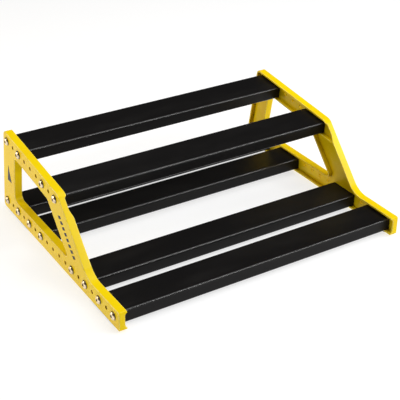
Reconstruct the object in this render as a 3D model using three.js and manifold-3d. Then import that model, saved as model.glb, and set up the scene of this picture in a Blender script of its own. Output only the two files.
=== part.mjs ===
// A low two-tier slatted riser: two yellow side frames, six black aluminium slats that
// run between them, and a row of fixing holes along every rail, so that a slat can be
// moved to another place and screwed down again.
//
// +X runs along the slats, +Y from the low front to the high back, +Z up. The origin is
// under the middle of the whole part, on the surface that it stands on. Millimetres.
//
// The frames are drawn in the plane of their outer faces, from the frontmost hole of the
// lower rail: y backwards, z upwards.

import * as THREE from 'three';
import { mergeVertices } from 'three/addons/utils/BufferGeometryUtils.js';
import Module from 'manifold-3d';

const wasm = await Module();
wasm.setup();

// ---- Driving sizes ----

const boardWidth = 455;        // over the outer faces of the two side frames
const holePitch = 20;          // spacing of the fixing holes along a rail
const lowerHoleCount = 18;
const upperHoleCount = 9;
const lowerEndMargin = 15;     // first and last lower hole to the end of the rail
const upperEndMargin = 14;     // first and last upper hole to the brace and the rear edge

const upperRise = 106;         // rearmost upper hole above the lower hole row
const upperTilt = 6.2;         // degrees that the upper rail climbs towards the back
const braceSlope = 47.6;       // degrees of the front brace above level
const braceWidth = 42;
const uprightLean = 10.8;      // degrees that the rear upright leans forward
const uprightWidth = 39.6;

const frameDepth = 12;         // outer face to the inner edge of the lips
const webDepth = 6;            // outer face to the recessed web that the slats butt on
const frontLipDepth = 9;       // outer face to the lowered lip at the front of a channel
const frontLipReach = 30;      // first hole of a rail to the front end of its lowered lip
const lipThickness = 3;        // lips round the outline and round the window
const upperLedgeThickness = 2.2;
const slatHeadroom = 3.1;      // top of a slat to the lip above it
const edgeRound = 1.2;         // rounding of the long edges

const frontCornerRadius = 2.5;
const footFilletRadius = 36;
const noseRadius = 16;
const rearTopRadius = 7;
const rearBottomRadius = 6;
const windowRadii = { foot: 4, rearLow: 9, rearHigh: 5, front: 12 };
const recessRadius = 1.5;      // sharp corners of the recesses on the inner side

const slatHeight = 19;
const slatTopRise = 5.9;       // screw axis up to the top of the slat
const slatWall = 1.8;
const slatCornerRadius = 2.5;
const screwPortWall = 1.6;
const screwPortInset = 0.6;    // outside of a screw port to the side of the slat

const threadDiameter = 5;
const screwLength = 18;
const headDiameter = 12;
const headHeight = 3.6;
const hexAcrossFlats = 3.2;
const hexDepth = 1.8;

const footLength = 70;
const footWidth = 9;
const footThickness = 2;
const footCornerRadius = 3;
const footInset = 14;          // end of a foot to the end of the lower rail

const seatGap = 0.3;           // between pieces that touch
const threadGap = 0.3;         // round a screw in its slat
const holeGap = 0.25;          // round a screw in its frame

// Slats on each tier: the hole under the middle of the slat, counted from the front.
// Each end is held by the hole before it and the hole after it.
const lowerSlats = {
  slat_lower_front: 1,
  slat_lower_second: 5,
  slat_lower_third: lowerHoleCount - 6,
  slat_lower_rear: lowerHoleCount - 2,
};
const upperSlats = { slat_upper_front: 1, slat_upper_rear: upperHoleCount - 2 };

// ---- Places that follow from the sizes ----

const radians = THREE.MathUtils.degToRad;
const rearTan = Math.tan(radians(uprightLean));
const lowerFrontY = -lowerEndMargin;
const lowerRearY = (lowerHoleCount - 1) * holePitch + lowerEndMargin / Math.cos(radians(uprightLean));

const alongUpper = new THREE.Vector2(Math.cos(radians(upperTilt)), Math.sin(radians(upperTilt)));
const upperNormal = new THREE.Vector2(-alongUpper.y, alongUpper.x);
const lastUpperHole = new THREE.Vector2(
  lowerRearY - upperRise * rearTan - upperEndMargin / Math.cos(radians(uprightLean)),
  upperRise,
);
const firstUpperHole = lastUpperHole.clone().addScaledVector(alongUpper, -(upperHoleCount - 1) * holePitch);

const holeDiameter = threadDiameter + 2 * holeGap;
const portDiameter = threadDiameter + 2 * threadGap;
const slatWidth = 2 * holePitch + portDiameter + 2 * (screwPortWall + screwPortInset);
const slatLength = boardWidth - 2 * (webDepth + seatGap);

// Heights of a rail's own levels, measured from its hole row.
const lipUnderside = slatTopRise + slatHeadroom;
const railTop = lipUnderside + lipThickness;
const ledge = slatTopRise - slatHeight - seatGap;
const lowerRailUnderside = ledge - lipThickness;
const upperRailUnderside = ledge - upperLedgeThickness;
const standHeight = footThickness + seatGap - lowerRailUnderside;

// ---- Lines, outlines and solids ----

const weldDistance = 1e-4;     // corners nearer than this are one corner
const overcut = 1;             // how far a cut runs past the face it opens in
const arcSteps = 4;            // half the flats in one arc of an outline
const circleSteps = 6;         // half the flats round a screw hole

// A straight edge of the frame: it goes through point, along direction.
function edge(point, direction) {
  return { point, direction: direction.clone().normalize() };
}

// The same edge moved sideways, to its left for a positive distance.
function moved({ point, direction }, distance) {
  const left = new THREE.Vector2(-direction.y, direction.x);
  return edge(point.clone().addScaledVector(left, distance), direction);
}

function crossing(a, b) {
  const between = b.point.clone().sub(a.point);
  const reach = between.cross(b.direction) / a.direction.cross(b.direction);
  return a.point.clone().addScaledVector(a.direction, reach);
}

// The corners where each edge of a closed chain meets the next.
function corners(...edges) {
  return edges.map((current, i) => crossing(current, edges[(i + 1) % edges.length]));
}

// A closed outline with each corner rounded by an arc of its own radius.
function roundedOutline(points, radii, Outline = THREE.Shape) {
  const outline = new Outline();
  points.forEach((corner, i) => {
    const before = points[(i + points.length - 1) % points.length].clone().sub(corner).normalize();
    const after = points[(i + 1) % points.length].clone().sub(corner).normalize();
    const halfAngle = Math.acos(THREE.MathUtils.clamp(before.dot(after), -1, 1)) / 2;
    const towardsCentre = before.clone().add(after).normalize();
    const centre = corner.clone().addScaledVector(towardsCentre, radii[i] / Math.sin(halfAngle));
    const reach = radii[i] / Math.tan(halfAngle);
    const start = corner.clone().addScaledVector(before, reach).sub(centre);
    const end = corner.clone().addScaledVector(after, reach).sub(centre);
    outline.absarc(centre.x, centre.y, radii[i], start.angle(), end.angle(), start.cross(end) < 0);
  });
  outline.closePath();
  return outline;
}

function rectangle(width, height, radius) {
  const points = [[-1, -1], [1, -1], [1, 1], [-1, 1]]
    .map(([x, y]) => new THREE.Vector2(x * width / 2, y * height / 2));
  return roundedOutline(points, [radius, radius, radius, radius]);
}

function circle(diameter) {
  return new THREE.Shape().absarc(0, 0, diameter / 2, 0, 2 * Math.PI);
}

// The outline carried along X from one plane to another. The outline's own two axes
// become Y and Z.
function slab(outline, fromX, toX, { round = 0, steps = arcSteps } = {}) {
  const geometry = new THREE.ExtrudeGeometry(outline, {
    depth: toX - fromX - 2 * round,
    curveSegments: steps,
    bevelEnabled: round > 0,
    bevelThickness: round,
    bevelSize: round,
    bevelOffset: -round,
    bevelSegments: 2,
  });
  const axes = new THREE.Matrix4().makeBasis(
    new THREE.Vector3(0, 1, 0), new THREE.Vector3(0, 0, 1), new THREE.Vector3(1, 0, 0),
  );
  return geometry.applyMatrix4(axes).translate(fromX + round, 0, 0);
}

function solid(geometry) {
  const bare = geometry.clone();
  bare.deleteAttribute('normal');
  bare.deleteAttribute('uv');
  const merged = mergeVertices(bare, weldDistance);
  return new wasm.Manifold(new wasm.Mesh({
    numProp: 3,
    vertProperties: new Float32Array(merged.attributes.position.array),
    triVerts: new Uint32Array(merged.index.array),
  }));
}

function geometryOf(manifold) {
  const { vertProperties, triVerts } = manifold.getMesh();
  const geometry = new THREE.BufferGeometry();
  geometry.setAttribute('position', new THREE.BufferAttribute(vertProperties, 3));
  geometry.setIndex(new THREE.BufferAttribute(triVerts, 1));
  geometry.computeVertexNormals();
  return geometry;
}

// ---- Side frame ----

// Every long edge of the frame runs anticlockwise round the outline, so that moving it
// by a positive distance takes it into the frame.
const level = new THREE.Vector2(1, 0);
const upright = new THREE.Vector2(-rearTan, 1);
const brace = new THREE.Vector2(-Math.cos(radians(braceSlope)), -Math.sin(radians(braceSlope)));
const frameEdges = {
  underside: edge(new THREE.Vector2(0, lowerRailUnderside), level),
  rear: edge(new THREE.Vector2(lowerRearY, 0), upright),
  upperTop: edge(firstUpperHole.clone().addScaledVector(upperNormal, railTop), alongUpper.clone().negate()),
  braceFront: moved(edge(firstUpperHole, brace), -upperEndMargin),
  lowerTop: edge(new THREE.Vector2(0, railTop), level.clone().negate()),
  front: edge(new THREE.Vector2(lowerFrontY, 0), new THREE.Vector2(0, -1)),
};
const windowEdges = {
  low: frameEdges.lowerTop,
  rear: moved(frameEdges.rear, uprightWidth),
  high: edge(firstUpperHole.clone().addScaledVector(upperNormal, upperRailUnderside), alongUpper),
  brace: moved(frameEdges.braceFront, braceWidth),
};

function frameOutline() {
  const { underside, rear, upperTop, braceFront, lowerTop, front } = frameEdges;
  const outline = roundedOutline(
    corners(front, underside, rear, upperTop, braceFront, lowerTop),
    [frontCornerRadius, rearBottomRadius, rearTopRadius, noseRadius, footFilletRadius, frontCornerRadius],
  );
  const opening = corners(windowEdges.brace, windowEdges.low, windowEdges.rear, windowEdges.high);
  const { foot, rearLow, rearHigh, front: nose } = windowRadii;
  outline.holes.push(roundedOutline(opening, [foot, rearLow, rearHigh, nose], THREE.Path));
  return outline;
}

// The two recesses on the inner side leave a lip along every edge. The upper one is the
// channel for the ends of the upper slats. The lower one is the channel for the lower
// slats, and reaches up into the brace and into the upright on both sides of the window.
// Where the frame's edge is rounded, the lip follows it.
function recessOutlines() {
  const front = moved(frameEdges.front, lipThickness);
  const rear = moved(frameEdges.rear, lipThickness);
  const braceFront = moved(frameEdges.braceFront, lipThickness);
  const braceBack = moved(windowEdges.brace, -lipThickness);
  const uprightFront = moved(windowEdges.rear, -lipThickness);
  const low = moved(frameEdges.lowerTop, lipThickness);
  const { high } = windowEdges;
  const lowerFloor = edge(new THREE.Vector2(0, ledge), level);
  const upperRow = edge(firstUpperHole, alongUpper);
  const lower = roundedOutline(
    corners(front, lowerFloor, rear, high, uprightFront, low, braceBack, high, braceFront, low),
    [
      recessRadius, rearBottomRadius - lipThickness, recessRadius, recessRadius,
      windowRadii.rearLow + lipThickness, windowRadii.foot + lipThickness, recessRadius, recessRadius,
      footFilletRadius + lipThickness, recessRadius,
    ],
  );
  const upper = roundedOutline(
    corners(braceFront, moved(upperRow, ledge), rear, moved(upperRow, lipUnderside)),
    [recessRadius, recessRadius, rearTopRadius - lipThickness, noseRadius - lipThickness],
  );
  return [lower, upper];
}

// At the front end of each channel the lip is lower than elsewhere.
function frontReliefOutlines() {
  const box = (hole, along, normal) => new THREE.Shape([
    [-frontLipReach, ledge], [0, ledge], [0, lipUnderside], [-frontLipReach, lipUnderside],
  ].map(([run, rise]) => hole.clone().addScaledVector(along, run).addScaledVector(normal, rise)));
  return [
    box(new THREE.Vector2(0, 0), level, new THREE.Vector2(0, 1)),
    box(firstUpperHole, alongUpper, upperNormal),
  ];
}

function holePlaces() {
  const lower = Array.from({ length: lowerHoleCount }, (_, k) => new THREE.Vector2(k * holePitch, 0));
  const upper = Array.from({ length: upperHoleCount }, (_, k) =>
    firstUpperHole.clone().addScaledVector(alongUpper, k * holePitch));
  return [...lower, ...upper];
}

// side is -1 for the left frame and 1 for the right one. Depths are measured from the
// outer face towards the middle of the part.
function sideFrame(side) {
  const plane = (depth) => side * (boardWidth / 2 - depth);
  const between = (outline, depthA, depthB, options) => {
    const [fromX, toX] = [plane(depthA), plane(depthB)].sort((a, b) => a - b);
    return solid(slab(outline, fromX, toX, options));
  };
  const past = frameDepth + overcut;
  let frame = between(frameOutline(), 0, frameDepth, { round: edgeRound });
  for (const outline of recessOutlines()) frame = frame.subtract(between(outline, webDepth, past));
  for (const outline of frontReliefOutlines()) frame = frame.subtract(between(outline, frontLipDepth, past));
  for (const place of holePlaces()) {
    const drill = between(circle(holeDiameter), -overcut, past, { steps: circleSteps });
    frame = frame.subtract(drill.translate([0, place.x, place.y]));
  }
  return geometryOf(frame);
}

// ---- Slat ----

// A rounded hollow bar with two round screw ports inside its upper corners. It is drawn
// about the hole row that its screws sit in.
function slat() {
  const half = slatLength / 2;
  const bar = (outline, reach, options) => solid(slab(outline, -reach, reach, options));
  const round = { steps: circleSteps };
  const outer = rectangle(slatWidth, slatHeight, slatCornerRadius);
  const inner = rectangle(slatWidth - 2 * slatWall, slatHeight - 2 * slatWall, slatCornerRadius / 2);
  const lift = [0, 0, slatTopRise - slatHeight / 2];
  let piece = bar(outer, half).translate(lift).subtract(bar(inner, half + overcut).translate(lift));
  for (const y of [-holePitch, holePitch]) {
    piece = piece.add(bar(circle(portDiameter + 2 * screwPortWall), half, round).translate([0, y, 0]));
    piece = piece.subtract(bar(circle(portDiameter), half + overcut, round).translate([0, y, 0]));
  }
  return geometryOf(piece);
}

// ---- Screw ----

// A domed head on a plain shank, with a hexagon socket. The shank points along +X and
// the head's seat is at x = 0.
function screw() {
  const domeSteps = 4;
  const sidesAround = 14;
  const dome = Array.from({ length: domeSteps }, (_, i) => {
    const turn = (i / domeSteps) * Math.PI / 2;
    return new THREE.Vector2(headDiameter / 2 * Math.cos(turn), -headHeight * Math.sin(turn));
  });
  const profile = [
    new THREE.Vector2(0, -headHeight),
    ...dome.reverse(),
    new THREE.Vector2(threadDiameter / 2, 0),
    new THREE.Vector2(threadDiameter / 2, screwLength),
    new THREE.Vector2(0, screwLength),
  ];
  const body = new THREE.LatheGeometry(profile, sidesAround).rotateZ(-Math.PI / 2);
  const hexRadius = hexAcrossFlats / Math.sqrt(3);
  const socket = new THREE.CylinderGeometry(hexRadius, hexRadius, 2 * hexDepth, 6).rotateZ(-Math.PI / 2);
  socket.translate(-headHeight, 0, 0);
  return geometryOf(solid(body).subtract(solid(socket)));
}

// ---- Foot ----

// A flat rubber strip with rounded corners, under the lower rail.
function foot() {
  const outline = rectangle(footWidth, footLength, footCornerRadius);
  const extrusion = { depth: footThickness, bevelEnabled: false, curveSegments: arcSteps };
  return new THREE.ExtrudeGeometry(outline, extrusion);
}

// ---- Assembly ----

const finishes = {
  paint: { color: 0xe6c21c, roughness: 0.42, metalness: 0 },
  slats: { color: 0x191818, roughness: 0.4, metalness: 0.3 },
  steel: { color: 0xc8c6c2, roughness: 0.22, metalness: 1 },
  rubber: { color: 0x161616, roughness: 0.9, metalness: 0 },
};

function named(name, geometry, finish) {
  const mesh = new THREE.Mesh(geometry, new THREE.MeshStandardMaterial(finishes[finish]));
  mesh.name = name;
  return mesh;
}

// One tier carries its slats and their screws, and is turned and lifted as a whole.
function tier(slats, place, tilt) {
  const group = new THREE.Group();
  group.position.set(0, place.x, place.y);
  group.rotation.x = radians(tilt);
  const headSeat = boardWidth / 2 + seatGap;
  for (const [name, hole] of Object.entries(slats)) {
    const bar = named(name, slat(), 'slats');
    bar.position.y = hole * holePitch;
    group.add(bar);
    for (const [end, side] of [['left', -1], ['right', 1]]) {
      for (const [row, step] of [['front', -1], ['rear', 1]]) {
        const fixing = named(`screw_${name.slice('slat_'.length)}_${end}_${row}`, screw(), 'steel');
        fixing.position.set(side * headSeat, (hole + step) * holePitch, 0);
        fixing.rotation.z = side < 0 ? 0 : Math.PI;
        group.add(fixing);
      }
    }
  }
  return group;
}

function feet() {
  const group = new THREE.Group();
  const reach = boardWidth / 2 - frameDepth / 2;
  const underRail = lowerRailUnderside - seatGap - footThickness;
  for (const [end, side] of [['left', -1], ['right', 1]]) {
    const front = named(`foot_${end}_front`, foot(), 'rubber');
    front.position.set(side * reach, lowerFrontY + footInset + footLength / 2, underRail);
    const rear = named(`foot_${end}_rear`, foot(), 'rubber');
    rear.position.set(side * reach, lowerRearY - footInset - footLength / 2, underRail);
    group.add(front, rear);
  }
  return group;
}

const riser = new THREE.Group();
riser.add(
  named('side_frame_left', sideFrame(-1), 'paint'),
  named('side_frame_right', sideFrame(1), 'paint'),
  tier(lowerSlats, new THREE.Vector2(0, 0), 0),
  tier(upperSlats, firstUpperHole, upperTilt),
  feet(),
);

// Stand the part on the floor, with the origin under the middle of its length and width.
const footprint = new THREE.Box3().setFromObject(riser, true);
riser.position.set(0, -(footprint.min.y + footprint.max.y) / 2, standHeight);

export default riser;
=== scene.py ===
# A low two-tier slatted riser: two yellow side frames, six black slats, domed screws and
# rubber feet. Sizes in the dictionaries are millimetres, and meshes are made in metres.

import math

import bmesh
import bpy
import numpy as np
from mathutils import Matrix, Quaternion, Vector
from mathutils.geometry import delaunay_2d_cdt


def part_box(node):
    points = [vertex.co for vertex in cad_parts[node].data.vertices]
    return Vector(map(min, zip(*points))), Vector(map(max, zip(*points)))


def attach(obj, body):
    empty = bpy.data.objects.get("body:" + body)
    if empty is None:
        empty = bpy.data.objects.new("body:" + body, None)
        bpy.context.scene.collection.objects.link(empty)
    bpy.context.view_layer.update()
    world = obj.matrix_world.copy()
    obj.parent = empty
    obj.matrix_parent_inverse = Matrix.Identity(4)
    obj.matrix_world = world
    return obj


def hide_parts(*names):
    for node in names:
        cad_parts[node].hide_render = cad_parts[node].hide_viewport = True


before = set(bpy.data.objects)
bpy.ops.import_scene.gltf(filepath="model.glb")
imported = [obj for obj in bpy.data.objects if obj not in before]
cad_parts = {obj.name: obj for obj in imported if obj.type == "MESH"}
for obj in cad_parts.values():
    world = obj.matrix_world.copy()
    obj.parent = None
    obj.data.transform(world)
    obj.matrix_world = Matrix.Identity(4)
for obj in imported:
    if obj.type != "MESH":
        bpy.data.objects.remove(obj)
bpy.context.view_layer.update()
mm = 0.001
print("frame loaded:", len(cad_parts), "nodes")


# Points in a section are complex numbers: the real part runs backwards, the imaginary
# part upwards. A line is a point on it and a direction.

def lineAt(point, direction):
    return point, direction / abs(direction)


def shifted(line, distance):  # to the left of the line's direction
    point, direction = line
    return point + 1j * direction * distance, direction


def meeting(first, second):
    firstPoint, firstWay = first
    secondPoint, secondWay = second
    apart = ((secondPoint - firstPoint) * np.conj(secondWay)).imag
    return firstPoint + firstWay * apart / (firstWay * np.conj(secondWay)).imag


def cornersOf(*lines):  # where each line meets the next
    return np.array([meeting(line, lines[(i + 1) % len(lines)]) for i, line in enumerate(lines)])


def rectangle(width, height):
    half = complex(width, height) / 2
    return np.array([-half, np.conj(half), half, -np.conj(half)])


class Loop:
    # a closed line: its points, the directions that face away from the material, and how
    # sharply it bends there, from 0 on a straight stretch to 1 halfway round a corner
    def __init__(self, points, normals, bends):
        self.points, self.normals, self.bends = points, normals, bends

    def moved(self, inset):  # the points, carried into the material
        return self.points - self.normals * inset

    def picked(self, index, share):  # the points at the index, moved a share towards the next
        onward = np.roll(self.points, -1)[index] - self.points[index]
        return Loop(self.points[index] + share * onward, self.normals[index], self.bends[index])


def roundedLoop(corners, radii, finest=7.0, longest=1e9):
    # Each corner becomes an arc that touches both of its sides. The material lies to the
    # left. Arcs are cut every few degrees, and straight stretches every longest millimetres.
    points, normals, bends = [], [], []
    befores, afters = np.roll(corners, 1), np.roll(corners, -1)
    for before, corner, after, radius in zip(befores, corners, afters, radii):
        arriving = (corner - before) / abs(corner - before)
        leaving = (after - corner) / abs(after - corner)
        turn = np.angle(leaving / arriving)
        bend = radius * np.sign(turn)
        centre = corner - arriving * radius * math.tan(abs(turn) / 2) + 1j * arriving * bend
        steps = max(2, math.ceil(abs(math.degrees(turn)) / finest))
        share = np.linspace(0, 1, steps + 1)
        outward = -1j * arriving * np.exp(1j * turn * share)
        points.append(centre + bend * outward)
        normals.append(outward)
        bends.append(np.sin(np.pi * share))
    loop = Loop(np.concatenate(points), np.concatenate(normals), np.concatenate(bends))
    counts = np.ceil(abs(np.roll(loop.points, -1) - loop.points) / longest).astype(int)
    index = np.repeat(np.arange(len(counts)), counts)
    step = np.arange(counts.sum()) - np.repeat(np.cumsum(counts) - counts, counts)
    return loop.picked(index, step / counts[index])


def roundedOpening(corners, radii, longest):  # it has the material outside, so it runs backwards
    return roundedLoop(corners[::-1], radii[::-1], longest=longest)


def holeLoop(centre, radius, flats=28):
    outward = np.exp(-2j * np.pi * np.arange(flats) / flats)
    return Loop(centre + radius * outward, -outward, np.zeros(flats))


def insideLoops(spots, loops):
    # a spot is inside where a level ray from it crosses the loops an odd number of times
    crossings = np.zeros(len(spots), int)
    level = spots.imag[:, None]
    for loop in loops:
        ahead = np.roll(loop, -1)
        spans = (loop.imag > level) != (ahead.imag > level)
        rise = np.where(ahead.imag == loop.imag, 1, ahead.imag - loop.imag)
        reach = loop.real + (level - loop.imag) / rise * (ahead.real - loop.real)
        crossings += (spans & (spots.real[:, None] < reach)).sum(axis=1)
    return crossings % 2 == 1


quarter = np.linspace(0, np.pi / 2, 6)
edgePeak = np.sin(2 * quarter)  # a rounded edge's mask peaks at its middle


# A rounded edge is a quarter circle. Its inset and its depth are the radius times one less
# the sine, and one less the cosine, of an angle that grows from nothing to a quarter turn.

def roundIn(radius, face):  # from a flat face round into the wall: inset and depth
    return radius * (1 - np.sin(quarter)), face + radius * (1 - np.cos(quarter))


def roundOut(radius, face):  # from the wall round out to a flat face
    return radius * (1 - np.cos(quarter)), face - radius * (1 - np.sin(quarter))


def addValues(mesh, name, values):  # a number for each point, which a material can read
    made = mesh.attributes.new(name, "FLOAT", "POINT")
    made.data.foreach_set("value", values.astype(np.float32))


weldDistance = 2e-6   # metres
mergeDistance = 1e-6  # millimetres, in the section


def inSpace(x, plane, origin):  # a section's points, at x and about an origin in metres
    return np.stack([x, origin.real + plane.real * mm, origin.imag + plane.imag * mm], -1)


def barProfile(edge, length, stations=()):  # inset and depth along a bar with rounded ends
    startInset, startDepth = roundIn(edge, 0)
    endInset, endDepth = roundOut(edge, length)
    inset = np.concatenate([startInset, np.zeros(len(stations)), endInset])
    return inset, np.concatenate([startDepth, stations, endDepth])


class Shell:
    # Gathers patches of surface and welds them where they meet. Each point gets a wear-and-shade value:
    # from 0 to 1 where it is rubbed, shown by the frame paint as wear with a painted highlight, and below
    # 0 where painted shade darkens holes and corners. The place function turns points of a section and
    # depths across it into points in metres.
    def __init__(self, place):
        self.place, self.total = place, 0
        self.points, self.faces, self.wearAndShade = [], [], []

    def add(self, points, faces, wearAndShade):
        self.points.append(points.reshape(-1, 3))
        self.wearAndShade.append(np.broadcast_to(wearAndShade, points.shape[:-1]).ravel())
        self.faces += (np.asarray(faces) + self.total).tolist()
        self.total += len(self.points[-1])

    def sweep(self, loop, inset, depth, wearAndShade=0.0):
        # A profile carried round the loop. Each of its points is the loop's point, less the
        # normal there times the inset, at a depth across the section.
        plane = loop.points[:, None] - loop.normals[:, None] * inset
        grid = self.place(plane, np.broadcast_to(depth, plane.shape))
        rows, columns = plane.shape
        here = np.arange(rows * columns).reshape(rows, columns)
        ahead = np.roll(here, -1, axis=0)
        quads = np.stack([here[:, :-1], ahead[:, :-1], ahead[:, 1:], here[:, 1:]], axis=-1)
        self.add(grid, quads.reshape(-1, 4), wearAndShade)

    def fill(self, loops, depth):
        # The flat area between closed loops, in triangles that keep the loops as edges. A
        # vector holds single precision numbers, so the points are rounded to them first.
        loops = [loop.astype(np.complex64).astype(complex) for loop in loops]
        points = np.concatenate(loops)
        edges, start = [], 0
        for loop in loops:
            count = len(loop)
            edges += [(start + i, start + (i + 1) % count) for i in range(count)]
            start += count
        flat = [Vector((point.real, point.imag)) for point in points]
        made = delaunay_2d_cdt(flat, edges, [], 0, mergeDistance)
        corners, sources = made[2], made[3]
        triangles = np.array([source[0] for source in sources])[np.array(corners)]
        kept = insideLoops(points[triangles].mean(axis=1), loops)
        self.add(self.place(points, np.broadcast_to(depth, points.shape)), triangles[kept], 0.0)

    def piece(self, node, finish, smoothTo=40):
        mesh = bpy.data.meshes.new(node + "_shape")
        mesh.from_pydata(np.concatenate(self.points).tolist(), [], self.faces)
        addValues(mesh, "wearAndShade", np.concatenate(self.wearAndShade))
        draft = bmesh.new()
        draft.from_mesh(mesh)
        bmesh.ops.remove_doubles(draft, verts=draft.verts, dist=weldDistance)
        bmesh.ops.recalc_face_normals(draft, faces=draft.faces)
        draft.to_mesh(mesh)
        draft.free()
        mesh.shade_smooth()
        mesh.set_sharp_from_angle(angle=math.radians(smoothTo))
        mesh.materials.append(finish)
        made = bpy.data.objects.new(node + "_shape", mesh)
        bpy.context.scene.collection.objects.link(made)
        even = made.modifiers.new("even shading", "WEIGHTED_NORMAL")
        even.keep_sharp = True
        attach(made, "root")
        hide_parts(node)
        return made


# Materials

class Wire:
    # a socket's value, so that shader maths reads as arithmetic
    def __init__(self, nodes, socket):
        self.nodes, self.socket = nodes, socket

    def maths(self, operation, *values):
        return self.nodes.add("ShaderNodeMath", {"operation": operation}, dict(enumerate(values)))

    def __add__(self, other):
        return self.maths("ADD", self, other)

    def __sub__(self, other):
        return self.maths("SUBTRACT", self, other)

    def __rsub__(self, other):
        return self.maths("SUBTRACT", other, self)

    def __mul__(self, other):
        return self.maths("MULTIPLY", self, other)

    def __gt__(self, other):
        return self.maths("GREATER_THAN", self, other)

    def __lt__(self, other):
        return self.maths("LESS_THAN", self, other)

    def __abs__(self):
        return self.maths("ABSOLUTE", self)

    def __mod__(self, other):
        return self.maths("MODULO", self, other)

    __radd__, __rmul__ = __add__, __mul__


class Nodes:
    # a node tree, to which nodes are added with their settings and inputs
    def __init__(self, tree):
        self.tree = tree

    def feed(self, socket, value):
        if isinstance(value, Wire):
            self.tree.links.new(value.socket, socket)
        else:
            socket.default_value = value

    def add(self, kind, settings=None, inputs=None, output=0):
        node = self.tree.nodes.new(kind)
        for key, value in (settings or {}).items():
            setattr(node, key, value)
        for key, value in (inputs or {}).items():
            self.feed(node.inputs[key], value)
        return Wire(self, node.outputs[output])


class Finish(Nodes):
    # one material and the nodes that shape it
    def __init__(self, name, fixed):
        self.material = bpy.data.materials.new(name)
        self.material.use_nodes = True
        super().__init__(self.material.node_tree)
        self.set(fixed)

    def set(self, values):
        for key, value in values.items():
            self.feed(self.tree.nodes["Principled BSDF"].inputs[key], value)

    def coordinates(self, *scale):
        here = self.add("ShaderNodeTexCoord", output="Object")
        return self.add("ShaderNodeMapping", inputs={"Vector": here, "Scale": scale}) if scale else here

    def axes(self):
        here = self.coordinates()
        return [self.add("ShaderNodeSeparateXYZ", inputs={0: here}, output=i) for i in range(3)]

    def noise(self, vector, scale, detail=2.0, roughness=0.5):
        return self.add("ShaderNodeTexNoise", inputs={
            "Vector": vector, "Scale": scale, "Detail": detail, "Roughness": roughness})

    def between(self, value, low, high):  # 0 below low, 1 above high, smooth between them
        return self.add("ShaderNodeMapRange", {"interpolation_type": "SMOOTHSTEP"}, {
            "Value": value, "From Min": low, "From Max": high})

    def mixed(self, share, first, second):
        return self.add("ShaderNodeMix", {"data_type": "RGBA"}, {0: share, 6: first, 7: second}, 2)

    def bump(self, height, distance, strength):  # the distance is in millimetres
        return self.add("ShaderNodeBump", inputs={
            "Height": height, "Distance": distance * mm, "Strength": strength})

    def attribute(self, name):
        return self.add("ShaderNodeAttribute", {"attribute_name": name}, output="Fac")


paint = {
    "colour": (0.92, 0.68, 0.003, 1),
    "deeper": (0.86, 0.54, 0.002, 1),
    "thinPaintAndHighlight": (1.0, 0.86, 0.30, 1),       # where an edge has been rubbed: paler as wear and as a painted highlight
    "paintedShade": (0.30, 0.13, 0.004, 1),    # painted shade, in the mouths of the holes and the corners of the tray
    "mark": (0.012, 0.011, 0.010, 1),
    "patchScale": 14.0,
    "patchEdges": (0.35, 0.7),
    "patchShare": 0.45,
    "rubScale": 260.0,
    "rubEdges": (0.3, 0.6),
    "rubShare": 0.75,
    "shadeShare": 0.8,
    "waveScale": 330.0,
    "waveShare": 0.7,                   # the rest of the waviness is the speckle
    "waveHeight": 0.06,
    "waveStrength": 0.5,
    "speckleScale": 900.0,
    "roughness": 0.22,
    "rubRoughness": 0.12,
    "unevenRoughness": 0.05,
    "edgeShine": 0.4,
    "fixed": {"Specular IOR Level": 0.12, "Coat Roughness": 0.15},
    "markDepth": 0.4,                   # how far behind the outer face a mark can still show
    "dashSlant": 0.35,
    "dashLength": 5.0,
    "dashStep": 8.2,
    "dashHeight": 7.5,
    "dashCount": 8,
    "triangleHeight": 28.0,
    "triangleWidth": 15.0,
}


def paintMarks(finish, outerFace, slope, dashStart, signFoot):
    # Plain slanted dashes run down the brace and a plain triangle stands on the upright, on
    # the outer faces only. Each is 1 inside its outline, as a product of limits.
    x, y, z = finish.axes()
    outer = abs(x) > outerFace - paint["markDepth"] * mm
    run = (y - dashStart.real) * -math.cos(slope) + (z - dashStart.imag) * -math.sin(slope)
    rise = (y - dashStart.real) * math.sin(slope) - (z - dashStart.imag) * math.cos(slope)
    slanted = run + rise * paint["dashSlant"]
    inDash = slanted % (paint["dashStep"] * mm) < paint["dashLength"] * mm
    inRow = abs(rise) < paint["dashHeight"] / 2 * mm
    dashes = inDash * inRow * (slanted > 0) * (slanted < paint["dashCount"] * paint["dashStep"] * mm)
    across, up = abs(y - signFoot.real), z - signFoot.imag
    spread = paint["triangleWidth"] / paint["triangleHeight"] / 2
    triangle = (up > 0) * (across < (paint["triangleHeight"] * mm - up) * spread)
    return outer * (dashes + triangle)


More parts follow.
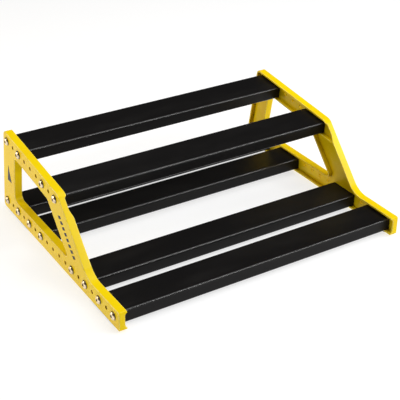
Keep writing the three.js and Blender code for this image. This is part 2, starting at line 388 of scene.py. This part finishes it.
def paintFinish(outerFace, slope, dashStart, signFoot):
    # Satin yellow coating. It is a little deeper in large soft patches, paler along the edges as wear
    # and as a painted highlight, browner in holes and inner corners as painted shade, and has the fine
    # waviness of a sprayed coat.
    finish = Finish("frame paint", paint["fixed"])
    here = finish.coordinates()
    patches = finish.between(finish.noise(here, paint["patchScale"], detail=3), *paint["patchEdges"])
    speckle = finish.noise(here, paint["speckleScale"])
    wave = finish.noise(here, paint["waveScale"]) * paint["waveShare"]
    wave = wave + speckle * (1 - paint["waveShare"])
    wearAndShade = finish.attribute("wearAndShade")
    edges = wearAndShade.maths("MAXIMUM", wearAndShade, 0)
    shadedNooks = wearAndShade.maths("MAXIMUM", 0 - wearAndShade, 0)
    scuffs = finish.noise(here, paint["rubScale"], detail=4, roughness=0.6)
    # rubbed edges are paler, partly as paint wear and partly as a painted highlight
    rubbed = edges * finish.between(scuffs, *paint["rubEdges"])
    colour = finish.mixed(patches * paint["patchShare"], paint["colour"], paint["deeper"])
    colour = finish.mixed(rubbed * paint["rubShare"], colour, paint["thinPaintAndHighlight"])
    # painted shade: holes and inner corners are darkened and browned
    colour = finish.mixed(shadedNooks * paint["shadeShare"], colour, paint["paintedShade"])
    marks = paintMarks(finish, outerFace, slope, dashStart, signFoot)
    colour = finish.mixed(marks, colour, paint["mark"])
    uneven = (patches + speckle) * paint["unevenRoughness"]
    finish.set({
        "Base Color": colour,
        "Roughness": rubbed * paint["rubRoughness"] + uneven + paint["roughness"],
        "Coat Weight": edges * paint["edgeShine"],
        "Normal": finish.bump(wave, paint["waveHeight"], paint["waveStrength"]),
    })
    return finish.material


slatCoat = {
    "colour": (0.0060, 0.0055, 0.0055, 1),
    "dusty": (0.014, 0.013, 0.012, 1),
    "bare": (0.07, 0.068, 0.066, 1),    # where an edge is rubbed towards the metal
    "drawnScale": (2.2, 700, 700),      # along the bar, and across it
    "drawnHeight": 0.02,
    "drawnStrength": 0.6,
    "patchScale": (9, 26, 26),
    "patchEdges": (0.4, 0.75),
    "patchShare": 0.35,
    "speckScale": 1500.0,
    "speckEdges": (0.70, 0.78),
    "speckShare": 0.25,
    "rubScale": (40, 300, 300),
    "rubEdges": (0.45, 0.7),
    "rubShare": 0.35,
    "roughness": 0.27,
    "dustyRoughness": 0.08,
    "drawnRoughness": 0.10,
    "rubPolish": 0.05,
    "edgeShine": 0.9,
    "fixed": {"Specular IOR Level": 0.12, "Coat Roughness": 0.22},
}


def slatFinish():
    # Black anodised bar. Drawing lines run along it, dust lies in soft patches, and the long
    # rounded edges are slightly polished.
    finish = Finish("slat black", slatCoat["fixed"])
    drawn = finish.noise(finish.coordinates(*slatCoat["drawnScale"]), 1, detail=3)
    dust = finish.noise(finish.coordinates(*slatCoat["patchScale"]), 1, detail=4, roughness=0.6)
    patches = finish.between(dust, *slatCoat["patchEdges"])
    grains = finish.noise(finish.coordinates(), slatCoat["speckScale"], detail=1)
    specks = finish.between(grains, *slatCoat["speckEdges"])
    edges = finish.attribute("wearAndShade")
    scuffs = finish.noise(finish.coordinates(*slatCoat["rubScale"]), 1, detail=3)
    rubbed = edges * finish.between(scuffs, *slatCoat["rubEdges"])
    dusty = patches * slatCoat["patchShare"] + specks * slatCoat["speckShare"]
    colour = finish.mixed(dusty, slatCoat["colour"], slatCoat["dusty"])
    colour = finish.mixed(rubbed * slatCoat["rubShare"], colour, slatCoat["bare"])
    uneven = patches * slatCoat["dustyRoughness"] + drawn * slatCoat["drawnRoughness"]
    finish.set({
        "Base Color": colour,
        "Roughness": uneven - rubbed * slatCoat["rubPolish"] + slatCoat["roughness"],
        "Coat Weight": edges * slatCoat["edgeShine"],
        "Normal": finish.bump(drawn, slatCoat["drawnHeight"], slatCoat["drawnStrength"]),
    })
    return finish.material


turnedSteel = {
    "colour": (0.90, 0.77, 0.56, 1),
    "handled": (0.66, 0.51, 0.33, 1),
    # painted shade: the dark outline round the head's rim and the dark socket
    "paintedShade": (0.07, 0.06, 0.045, 1),
    "ringScale": 9.0,
    "ringHeight": 0.01,
    "ringStrength": 0.4,
    "hazeScale": 420.0,
    "hazeEdges": (0.35, 0.65),
    "shadeShare": 0.8,
    "roughness": 0.12,
    "hazeRoughness": 0.10,
    "ringRoughness": 0.08,
    "shadeRoughness": 0.2,
    "fixed": {"Metallic": 1.0},
}


def screwFinish():
    # Bright turned steel: fine rings from the lathe, a light haze of handling marks, and painted
    # shade where the shade attribute says so: a dark outline round the head's rim and a dark socket.
    finish = Finish("screw steel", turnedSteel["fixed"])
    rings = finish.add("ShaderNodeTexNoise", {"noise_dimensions": "1D"}, {
        "W": finish.attribute("reach"), "Scale": turnedSteel["ringScale"], "Detail": 2.0})
    haze = finish.noise(finish.coordinates(), turnedSteel["hazeScale"], detail=3)
    paintedShade = finish.attribute("shade")
    handled = finish.between(haze, *turnedSteel["hazeEdges"])
    colour = finish.mixed(handled, turnedSteel["colour"], turnedSteel["handled"])
    colour = finish.mixed(paintedShade * turnedSteel["shadeShare"], colour, turnedSteel["paintedShade"])
    uneven = haze * turnedSteel["hazeRoughness"] + rings * turnedSteel["ringRoughness"]
    finish.set({
        "Base Color": colour,
        "Roughness": uneven + paintedShade * turnedSteel["shadeRoughness"] + turnedSteel["roughness"],
        "Normal": finish.bump(rings, turnedSteel["ringHeight"], turnedSteel["ringStrength"]),
    })
    return finish.material


footRubber = {
    "colour": (0.012, 0.012, 0.012, 1),
    "bloom": (0.045, 0.043, 0.040, 1),
    "bloomScale": 60.0,
    "bloomEdges": (0.4, 0.75),
    "bloomShare": 0.5,
    "grainScale": 2200.0,
    "grainHeight": 0.08,
    "grainStrength": 0.5,
    "roughness": 0.72,
    "bloomRoughness": 0.1,
    "grainRoughness": 0.12,
    "fixed": {"Specular IOR Level": 0.25},
}


def rubberFinish():
    # Matt black rubber with a fine grain and a pale bloom of dust.
    finish = Finish("foot rubber", footRubber["fixed"])
    here = finish.coordinates()
    dust = finish.noise(here, footRubber["bloomScale"], detail=4)
    bloom = finish.between(dust, *footRubber["bloomEdges"])
    grain = finish.noise(here, footRubber["grainScale"])
    uneven = grain * footRubber["grainRoughness"] + bloom * footRubber["bloomRoughness"]
    share = bloom * footRubber["bloomShare"]
    finish.set({
        "Base Color": finish.mixed(share, footRubber["colour"], footRubber["bloom"]),
        "Roughness": uneven + footRubber["roughness"],
        "Normal": finish.bump(grain, footRubber["grainHeight"], footRubber["grainStrength"]),
    })
    return finish.material


# Side frames

sideFrame = {
    "holePitch": 20.0,
    "lowerHoles": 18,
    "upperHoles": 9,
    "lowerEndMargin": 15.0,
    "upperEndMargin": 14.0,
    "upperRise": 106.0,
    "upperTilt": 6.2,
    "braceSlope": 47.6,
    "braceWidth": 42.0,
    "uprightLean": 10.8,
    "uprightWidth": 39.6,
    "frameDepth": 12.0,
    "webDepth": 6.0,
    "frontLipDepth": 9.0,
    "frontLipReach": 30.0,
    "lip": 3.0,
    "railTop": 12.0,            # heights of a rail's levels above its own hole row
    "ledge": -13.4,
    "lowerUnderside": -16.4,
    "upperUnderside": -15.6,
    "edgeRound": 1.2,
    "lipRound": 0.8,
    "recessRound": 0.6,
    "recessFillet": 0.5,
    "holeRadius": 2.75,
    "holeRound": 0.3,
    # how dark the painted shade is in the fillets at the foot of each recess wall
    "cornerShade": 0.5,
    "holeShadeDepths": (0.45, 0.6),    # shares of the web: the painted shade in a hole ends between them
    "frontCorner": 2.5,
    "footFillet": 36.0,
    "nose": 16.0,
    "rearTop": 7.3,
    "rearBottom": 6.0,
    "recessCorner": 1.5,
    "windowFoot": 4.0,
    "windowRearLow": 9.0,
    "windowRearHigh": 5.0,
    "windowFront": 12.0,
    "stepEase": 1.5,            # how gently the lip steps down at the front
    "reachEase": 8.0,
    "longest": 1.5,             # straight stretches of a loop are cut to this
    "dashAside": 6.0,           # the row of dashes, from the brace's line through the upper row
    "dashBelow": 22.0,
    "signAhead": 30.0,          # the triangle's foot, from the rear edge at the lower row
    "signAbove": 38.0,
}


class FramePlan:
    # the lines and loops of one side frame, from the frontmost hole of its lower rail
    def __init__(self, sizes):
        lean, tilt = math.radians(sizes["uprightLean"]), math.radians(sizes["upperTilt"])
        slope = math.radians(sizes["braceSlope"])
        self.along = complex(math.cos(tilt), math.sin(tilt))
        lowerLength = (sizes["lowerHoles"] - 1) * sizes["holePitch"]
        upperLength = (sizes["upperHoles"] - 1) * sizes["holePitch"]
        self.rear = lowerLength + sizes["lowerEndMargin"] / math.cos(lean)
        rearAbove = self.rear - sizes["upperRise"] * math.tan(lean)
        lastUpper = rearAbove - sizes["upperEndMargin"] / math.cos(lean)
        self.firstUpper = complex(lastUpper, sizes["upperRise"]) - upperLength * self.along
        level, upright = 1 + 0j, complex(-math.tan(lean), 1)
        self.brace = lineAt(self.firstUpper, complex(-math.cos(slope), -math.sin(slope)))
        upperRow = lineAt(self.firstUpper, self.along)
        underside = lineAt(sizes["lowerUnderside"] * 1j, level)
        rear = lineAt(complex(self.rear, 0), upright)
        upperTop = shifted(upperRow, sizes["railTop"])
        braceFront = shifted(self.brace, -sizes["upperEndMargin"])
        lowerTop = lineAt(sizes["railTop"] * 1j, -level)
        front = lineAt(complex(-sizes["lowerEndMargin"], 0), -1j)
        windowRear = shifted(rear, sizes["uprightWidth"])
        windowHigh = shifted(upperRow, sizes["upperUnderside"])
        windowBrace = shifted(braceFront, sizes["braceWidth"])
        lip, corner, longest = sizes["lip"], sizes["recessCorner"], sizes["longest"]
        inside = {name: shifted(line, lip) for name, line in {
            "front": front, "rear": rear, "brace": braceFront, "low": lowerTop}.items()}
        self.outer = roundedLoop(
            cornersOf(front, underside, rear, upperTop, braceFront, lowerTop),
            [sizes["frontCorner"], sizes["rearBottom"], sizes["rearTop"], sizes["nose"],
             sizes["footFillet"], sizes["frontCorner"]],
            longest=longest)
        self.window = roundedOpening(
            cornersOf(windowBrace, lowerTop, windowRear, windowHigh),
            [sizes["windowFoot"], sizes["windowRearLow"], sizes["windowRearHigh"], sizes["windowFront"]],
            longest)
        lowerRecess = roundedOpening(
            cornersOf(inside["front"], lineAt(sizes["ledge"] * 1j, level), inside["rear"], windowHigh,
                      shifted(windowRear, -lip), inside["low"], shifted(windowBrace, -lip),
                      windowHigh, inside["brace"], inside["low"]),
            [corner, sizes["rearBottom"] - lip, corner, corner,
             sizes["windowRearLow"] + lip, sizes["windowFoot"] + lip, corner,
             corner, sizes["footFillet"] + lip, corner],
            longest)
        upperRecess = roundedOpening(
            cornersOf(inside["brace"], shifted(upperRow, sizes["ledge"]), inside["rear"],
                      shifted(upperRow, sizes["railTop"] - lip)),
            [corner, corner, sizes["rearTop"] - lip, sizes["nose"] - lip],
            longest)
        self.recesses = [lowerRecess, upperRecess]
        lowerHoles = np.arange(sizes["lowerHoles"]) * sizes["holePitch"] + 0j
        upperHoles = self.firstUpper + np.arange(sizes["upperHoles"]) * sizes["holePitch"] * self.along
        self.holes = [holeLoop(centre, sizes["holeRadius"]) for centre in [*lowerHoles, *upperHoles]]
        self.sizes = sizes

    def crest(self, points):
        # Depth of the lip's crest. It is eased down along the front of both channels,
        # between the ledge and the underside of the lip.
        sizes = self.sizes
        drop = np.zeros(points.shape)
        onUpper = (points - self.firstUpper) / self.along
        for spot in (points, onUpper):
            reach = (spot.real + sizes["frontLipReach"]) / sizes["reachEase"] + 0.5
            rise = (spot.imag - sizes["ledge"]) / sizes["stepEase"]
            fall = (sizes["railTop"] - sizes["lip"] - spot.imag) / sizes["stepEase"]
            lowered = np.clip(np.minimum(np.minimum(reach, rise), fall), 0, 1)
            drop = np.maximum(drop, np.where(spot.real < 0, lowered, 0))
        return sizes["frameDepth"] - (sizes["frameDepth"] - sizes["frontLipDepth"]) * drop


def frontHole(node):  # the middle of a frame's frontmost lower hole, in metres
    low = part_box(node)[0]
    return complex(low.y + sideFrame["lowerEndMargin"] * mm, low.z - sideFrame["lowerUnderside"] * mm)


def makeSideFrame(node, side, plan, finish):
    # A plate with rounded edges, whose inner side is sunk to a web inside a raised lip
    sizes = plan.sizes
    low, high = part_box(node)
    outerX = low.x if side < 0 else high.x
    origin = frontHole(node)

    def place(plane, depth):
        return inSpace(outerX - side * depth * mm, plane, origin)

    shell = Shell(place)
    faceInset, faceDepth = roundIn(sizes["edgeRound"], 0)
    lipInset, lipRise = roundOut(sizes["lipRound"], 0)
    wallInset, wallRise = roundOut(sizes["recessRound"], 0)
    filletInset, filletRise = roundIn(-sizes["recessFillet"], 0)
    crests, crestLoops = [], []
    for loop in (plan.outer, plan.window):
        crest = plan.crest(loop.points)
        depth = np.hstack([np.tile(faceDepth, (len(crest), 1)), crest[:, None] + lipRise])
        # both rounded edges are marked as rubbed: paler as wear and as a painted highlight
        shell.sweep(loop, np.append(faceInset, lipInset), depth, np.append(edgePeak, edgePeak))
        crests.append(crest)
        crestLoops.append(loop.moved(sizes["lipRound"]))
    for loop in plan.recesses:
        crest = plan.crest(loop.points)
        floor = sizes["webDepth"] - filletRise[::-1]
        depth = np.hstack([crest[:, None] + wallRise[::-1], np.tile(floor, (len(crest), 1))])
        inset = np.append(wallInset[::-1], filletInset[::-1])
        # the wall's rounded top edge is rubbed, and its fillet at the web gets painted shade
        shell.sweep(loop, inset, depth, np.append(edgePeak, -sizes["cornerShade"] * edgePeak))
        crests.append(crest)
        crestLoops.append(loop.moved(sizes["recessRound"]))
    shell.fill(crestLoops, np.concatenate(crests))

    # painted shade in each hole: darker round its front edge, dark to its middle and clear behind it
    backRound = sizes["holeRound"] / 2
    holeInset, holeDepth = roundIn(sizes["holeRound"], 0)
    backInset, backDepth = roundOut(backRound, sizes["webDepth"])
    inset = np.concatenate([holeInset, [0, 0], backInset])
    depth = np.concatenate([holeDepth, sizes["webDepth"] * np.array(sizes["holeShadeDepths"]), backDepth])
    wearAndShade = np.concatenate([-np.sin(quarter), [-1, 0], edgePeak])
    for loop in plan.holes:
        shell.sweep(loop, inset, depth, wearAndShade)
    rims = [loop.moved(sizes["edgeRound"]) for loop in (plan.outer, plan.window)]
    shell.fill(rims + [loop.moved(sizes["holeRound"]) for loop in plan.holes], 0.0)
    floors = [loop.moved(-sizes["recessFillet"]) for loop in plan.recesses]
    shell.fill(floors + [loop.moved(backRound) for loop in plan.holes], sizes["webDepth"])
    shell.piece(node, finish)


def markPlaces(plan, origin):  # where the dashes start, and the middle of the triangle's foot
    sizes = plan.sizes
    point, direction = shifted(plan.brace, sizes["dashAside"])
    dashStart = origin + (point + direction * sizes["dashBelow"]) * mm
    return dashStart, origin + complex(plan.rear - sizes["signAhead"], sizes["signAbove"]) * mm


plan = FramePlan(sideFrame)
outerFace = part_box("side_frame_right")[1].x
places = markPlaces(plan, frontHole("side_frame_left"))
yellow = paintFinish(outerFace, math.radians(sideFrame["braceSlope"]), *places)
for node, side in (("side_frame_left", -1), ("side_frame_right", 1)):
    makeSideFrame(node, side, plan, yellow)
print("side frames made")


# Slats

slat = {
    "width": 50.0,
    "height": 19.0,
    "corner": 2.5,
    "wall": 1.8,
    "innerCorner": 1.25,
    "portLift": 3.6,            # middle of the bar up to the screw axis
    "portRadius": 2.8,
    "portWall": 1.6,
    "endRound": 0.3,
    "stations": 10,             # rings of points along the bar
    "cornerStep": 9.0,          # degrees between points round an outer corner
    "innerSteps": 7,            # points round an inner corner
    "portFlats": 20,
    "portSteps": 24,            # points round a port's wall
}


def slatHollow(sizes):
    # the inner wall: a rectangle whose upper corners are pushed in by the screw ports
    halfWidth, halfHeight = sizes["width"] / 2 - sizes["wall"], sizes["height"] / 2 - sizes["wall"]
    reach = sizes["portRadius"] + sizes["portWall"]
    aside, above = halfWidth - sideFrame["holePitch"], halfHeight - sizes["portLift"]
    turn = np.linspace(-math.acos(aside / reach), -math.pi - math.asin(above / reach), sizes["portSteps"])
    port = complex(sideFrame["holePitch"], sizes["portLift"]) + reach * np.exp(1j * turn)
    corner = complex(halfWidth - sizes["innerCorner"], -halfHeight + sizes["innerCorner"])
    bend = corner + sizes["innerCorner"] * np.exp(1j * np.linspace(-np.pi / 2, 0, sizes["innerSteps"]))
    right = np.concatenate([bend, port])
    points = np.concatenate([right, -np.conj(right[::-1])])
    return Loop(points, np.zeros(len(points)), np.zeros(len(points)))


def makeSlat(node, tilt, finish):
    # A hollow rounded bar with two screw ports, drawn out along X and cut square
    sizes = slat
    low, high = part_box(node)
    middle = (low + high) / 2
    turn = np.exp(1j * tilt)
    length = (high.x - low.x) / mm

    def place(plane, depth):
        return inSpace(low.x + depth * mm, plane * turn, complex(middle.y, middle.z))

    corners = rectangle(sizes["width"], sizes["height"])
    outside = roundedLoop(corners, [sizes["corner"]] * 4, finest=sizes["cornerStep"])
    stations = np.linspace(0, length, sizes["stations"] + 2)[1:-1]
    inset, depth = barProfile(sizes["endRound"], length, stations)
    shell = Shell(place)
    shell.sweep(outside, inset, depth, outside.bends[:, None])
    portPlaces = [complex(side * sideFrame["holePitch"], sizes["portLift"]) for side in (-1, 1)]
    ports = [holeLoop(spot, sizes["portRadius"], sizes["portFlats"]) for spot in portPlaces]
    inner = [slatHollow(sizes), *ports]
    for loop in inner:
        shell.sweep(loop, np.zeros(2), np.array([0, length]))
    rims = [outside.moved(sizes["endRound"]), *[loop.points for loop in inner]]
    for end in (0.0, length):
        shell.fill(rims, end)
    shell.piece(node, finish)


black = slatFinish()
upperTilt = math.radians(sideFrame["upperTilt"])
slatNodes = sorted(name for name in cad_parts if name.startswith("slat_"))
for node in slatNodes:
    makeSlat(node, upperTilt if "upper" in node else 0.0, black)
print("slats made:", len(slatNodes))


# Screws

screw = {
    "headRadius": 6.0,
    "headHeight": 3.6,
    "rim": 0.55,                # the dome starts this far above the seat
    "rimTaper": 0.15,
    "domeStart": 0.42,          # the inner end of the dome, as a share of the head's radius
    "domeEnd": 0.9995,          # its outer end, so that the last ring stands just off the rim
    "domeRings": 11,
    "hexAcross": 4.0,
    "hexDepth": 1.9,
    "hexPoint": 0.5,            # the drilled point in the socket's floor
    "hexTaper": 0.1,
    "hexFloor": 0.9,            # the floor's width, as a share of the socket's
    "mouth": 0.25,
    "mouthLift": 0.12,
    "shankRadius": 2.5,
    "neck": 0.4,
    "neckTaper": 0.1,
    "length": 18.0,
    "pitch": 0.8,
    "threadDepth": 0.4,
    "threadFrom": 1.0,          # plain stretches at the shank's two ends
    "threadTo": 0.8,
    "tipTaper": 0.6,
    "around": 36,
    "spinStep": 37,             # each screw is turned this many degrees on from the last
    "shadeFrom": 5.35,          # painted shade darkens the rim beyond this radius
    "shadeWidth": 0.6,
    "shadeDepth": 0.2,          # and in the socket, from this far under its mouth
    "socketReach": 0.65,        # of the socket's width
}


def threadRings(sizes, around):
    # The radius follows a triangle wave that climbs one pitch each turn.
    along = np.arange(sizes["threadFrom"], sizes["length"] - sizes["threadTo"], sizes["pitch"] / 4)
    phase = (along[:, None] / sizes["pitch"] - around / (2 * np.pi)) % 1
    return zip(sizes["shankRadius"] - sizes["threadDepth"] * abs(2 * phase - 1), -along)


def makeScrew(node, side, spin, finish):
    # Rings about the screw's own axis, each given by its radii and its height off the seat. The
    # dome's height follows the root of one less the square of its share of the radius.
    sizes = screw
    low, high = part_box(node)
    middle = (low + high) / 2
    seat = low.x + sizes["headHeight"] * mm if side < 0 else high.x - sizes["headHeight"] * mm
    around = np.arange(sizes["around"]) / sizes["around"] * 2 * np.pi
    sector = (around + np.pi / 6) % (np.pi / 3) - np.pi / 6
    hexagon = sizes["hexAcross"] / 2 / np.cos(sector)
    circle = np.ones(sizes["around"])

    def place(plane, depth):
        return inSpace(seat + side * depth * mm, plane, complex(middle.y, middle.z))

    dome = np.linspace(sizes["domeStart"], 1, sizes["domeRings"])
    rise = np.sqrt(1 - np.clip(dome, 0, sizes["domeEnd"]) ** 2)
    domeHeight = sizes["rim"] + (sizes["headHeight"] - sizes["rim"]) * rise
    mouthHeight = domeHeight[0] + sizes["mouthLift"]
    floorHeight = mouthHeight - sizes["hexDepth"]
    rings = [
        (0 * hexagon, floorHeight - sizes["hexPoint"]),
        (sizes["hexFloor"] * hexagon, floorHeight),
        (hexagon, floorHeight + sizes["hexTaper"]),
        (hexagon, mouthHeight - sizes["mouth"]),
        (hexagon + sizes["mouth"], mouthHeight),
        *[(sizes["headRadius"] * share * circle, height) for share, height in zip(dome, domeHeight)],
        ((sizes["headRadius"] - sizes["rimTaper"]) * circle, 0.0),
        ((sizes["shankRadius"] + sizes["neckTaper"]) * circle, 0.0),
        ((sizes["shankRadius"] - sizes["neckTaper"]) * circle, -sizes["neck"]),
        *threadRings(sizes, around),
        ((sizes["shankRadius"] - sizes["tipTaper"]) * circle, -sizes["length"]),
        (0 * circle, -sizes["length"]),
    ]
    radii, heights = zip(*rings)
    axis = Loop(0j * around, -np.exp(1j * (around + spin)), 0 * around)
    shell = Shell(place)
    shell.sweep(axis, np.stack(radii, axis=1), np.array(heights))
    made = shell.piece(node, finish, smoothTo=32)

    x, y, z = np.array([vertex.co for vertex in made.data.vertices]).T
    # the shade attribute marks painted shade: the rim's outline and the socket's deep part
    reach = np.hypot(y - middle.y, z - middle.z) / mm
    deep = side * (x - seat) / mm < mouthHeight - sizes["mouth"] - sizes["shadeDepth"]
    outward = np.clip((reach - sizes["shadeFrom"]) / sizes["shadeWidth"], 0, 1)
    inSocket = deep & (reach < sizes["hexAcross"] * sizes["socketReach"])
    addValues(made.data, "reach", reach)
    addValues(made.data, "shade", np.where(inSocket, 1.0, outward))


steel = screwFinish()
screwNodes = sorted(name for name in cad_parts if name.startswith("screw_"))
for i, node in enumerate(screwNodes):
    makeScrew(node, -1 if "_left" in node else 1, math.radians(i * screw["spinStep"] % 60), steel)
print("screws made:", len(screwNodes))


# Feet

foot = {"corner": 3.0, "edgeRound": 0.5}


def makeFoot(node, finish):
    # A flat strip with rounded corners and softened edges
    low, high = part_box(node)
    middle, size = (low + high) / 2, (high - low) / mm

    def place(plane, depth):
        return np.stack([middle.x + plane.imag * mm, middle.y + plane.real * mm, low.z + depth * mm], -1)

    loop = roundedLoop(rectangle(size.y, size.x), [foot["corner"]] * 4)
    inset, depth = barProfile(foot["edgeRound"], size.z)
    shell = Shell(place)
    shell.sweep(loop, inset, depth, np.append(edgePeak, edgePeak))
    for end in (0.0, size.z):
        shell.fill([loop.moved(foot["edgeRound"])], end)
    shell.piece(node, finish)


rubber = rubberFinish()
for node in sorted(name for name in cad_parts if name.startswith("foot_")):
    makeFoot(node, rubber)
print("feet made")


# Stage, light and camera

studio = {
    "floorSize": 14.0,
    "floorHeight": -0.0002,
    "floorColour": (0.35, 0.35, 0.35, 1),
    "floorGlow": 0.72,
    "fill": (0.036, 0.036, 0.037, 1),
    "backdrop": (0.74, 0.74, 0.74, 1),
    "lamps": {
        "overhead": {"place": (0.1, 0.1, 1.8), "size": (1.9, 1.6), "power": 24.5},
        "frontRight": {"place": (0.9, -1.14, 1.39), "size": (0.95, 0.12), "power": 12.0, "roll": -28.0},
        "right": {"place": (1.9, -0.9, 0.9), "size": (1.2, 1.0), "power": 26.0},
        "rearLeft": {"place": (-1.3, 0.8, 0.42), "size": (0.6, 0.6), "power": 8.4,
                     "colour": (1, 0.82, 0.5)},
    },
    "aim": (0.0, 0.0, 0.06),
}


def makeFloor():
    mesh = bpy.data.meshes.new("floor")
    corners = rectangle(studio["floorSize"], studio["floorSize"])
    spots = [(corner.real, corner.imag, studio["floorHeight"]) for corner in corners]
    mesh.from_pydata(spots, [], [(0, 1, 2, 3)])
    floor = bpy.data.objects.new("floor", mesh)
    bpy.context.scene.collection.objects.link(floor)
    finish = Finish("floor white", {
        "Base Color": studio["floorColour"], "Roughness": 0.9, "Specular IOR Level": 0.1,
        "Emission Color": (1, 1, 1, 1), "Emission Strength": studio["floorGlow"]})
    mesh.materials.append(finish.material)


def makeLamp(name, place, size, power, colour=(1, 1, 1), roll=0.0):
    lamp = bpy.data.lights.new(name, "AREA")
    lamp.shape = "RECTANGLE"
    lamp.size, lamp.size_y = size
    lamp.energy = power
    lamp.color = colour
    holder = bpy.data.objects.new(name, lamp)
    bpy.context.scene.collection.objects.link(holder)
    holder.location = place
    towards = Vector(studio["aim"]) - Vector(place)
    holder.rotation_mode = "QUATERNION"
    rolled = Quaternion((0, 0, 1), math.radians(roll))
    holder.rotation_quaternion = towards.to_track_quat("-Z", "Y") @ rolled


def makeWorld():
    # A dim room lights the object, behind a pale backdrop that only the camera sees.
    world = bpy.data.worlds.new("studio")
    world.use_nodes = True
    nodes = Nodes(world.node_tree)
    fill = world.node_tree.nodes["Background"]
    nodes.feed(fill.inputs["Color"], studio["fill"])
    backdrop = nodes.add("ShaderNodeBackground", inputs={"Color": studio["backdrop"]})
    seen = nodes.add("ShaderNodeLightPath", output="Is Camera Ray")
    both = nodes.add("ShaderNodeMixShader", inputs={0: seen, 1: Wire(nodes, fill.outputs[0]), 2: backdrop})
    nodes.feed(world.node_tree.nodes["World Output"].inputs["Surface"], both)
    bpy.context.scene.world = world


view = {
    "azimuth": -32.100,
    "elevation": 29.832,
    "roll": 0.571,
    "distance": 1.46364,
    "aim": (-0.00361, -0.01527, 0.04279),
    "lens": 90.517,
    "sensor": 36.0,
}


def makeCamera():
    # The camera looks at the aim point from an azimuth and an elevation, and is rolled a little
    azimuth, elevation, roll = [math.radians(view[key]) for key in ("azimuth", "elevation", "roll")]
    level = Vector((math.sin(azimuth), -math.cos(azimuth), 0))
    back = level * math.cos(elevation) + Vector((0, 0, math.sin(elevation)))
    right = Vector((0, 0, 1)).cross(back).normalized()
    up = back.cross(right)
    turned = right * math.cos(roll) + up * math.sin(roll)
    camera = bpy.data.cameras.new("camera")
    camera.lens = view["lens"]
    camera.sensor_width = view["sensor"]
    camera.dof.use_dof = False
    holder = bpy.data.objects.new("camera", camera)
    bpy.context.scene.collection.objects.link(holder)
    turn = Matrix((turned, back.cross(turned), back)).transposed().to_4x4()
    holder.matrix_world = Matrix.Translation(Vector(view["aim"]) + back * view["distance"]) @ turn
    bpy.context.scene.camera = holder


makeFloor()
for name, lamp in studio["lamps"].items():
    makeLamp(name, **lamp)
makeWorld()
makeCamera()
bpy.context.scene.view_settings.view_transform = "Standard"
print("stage set")
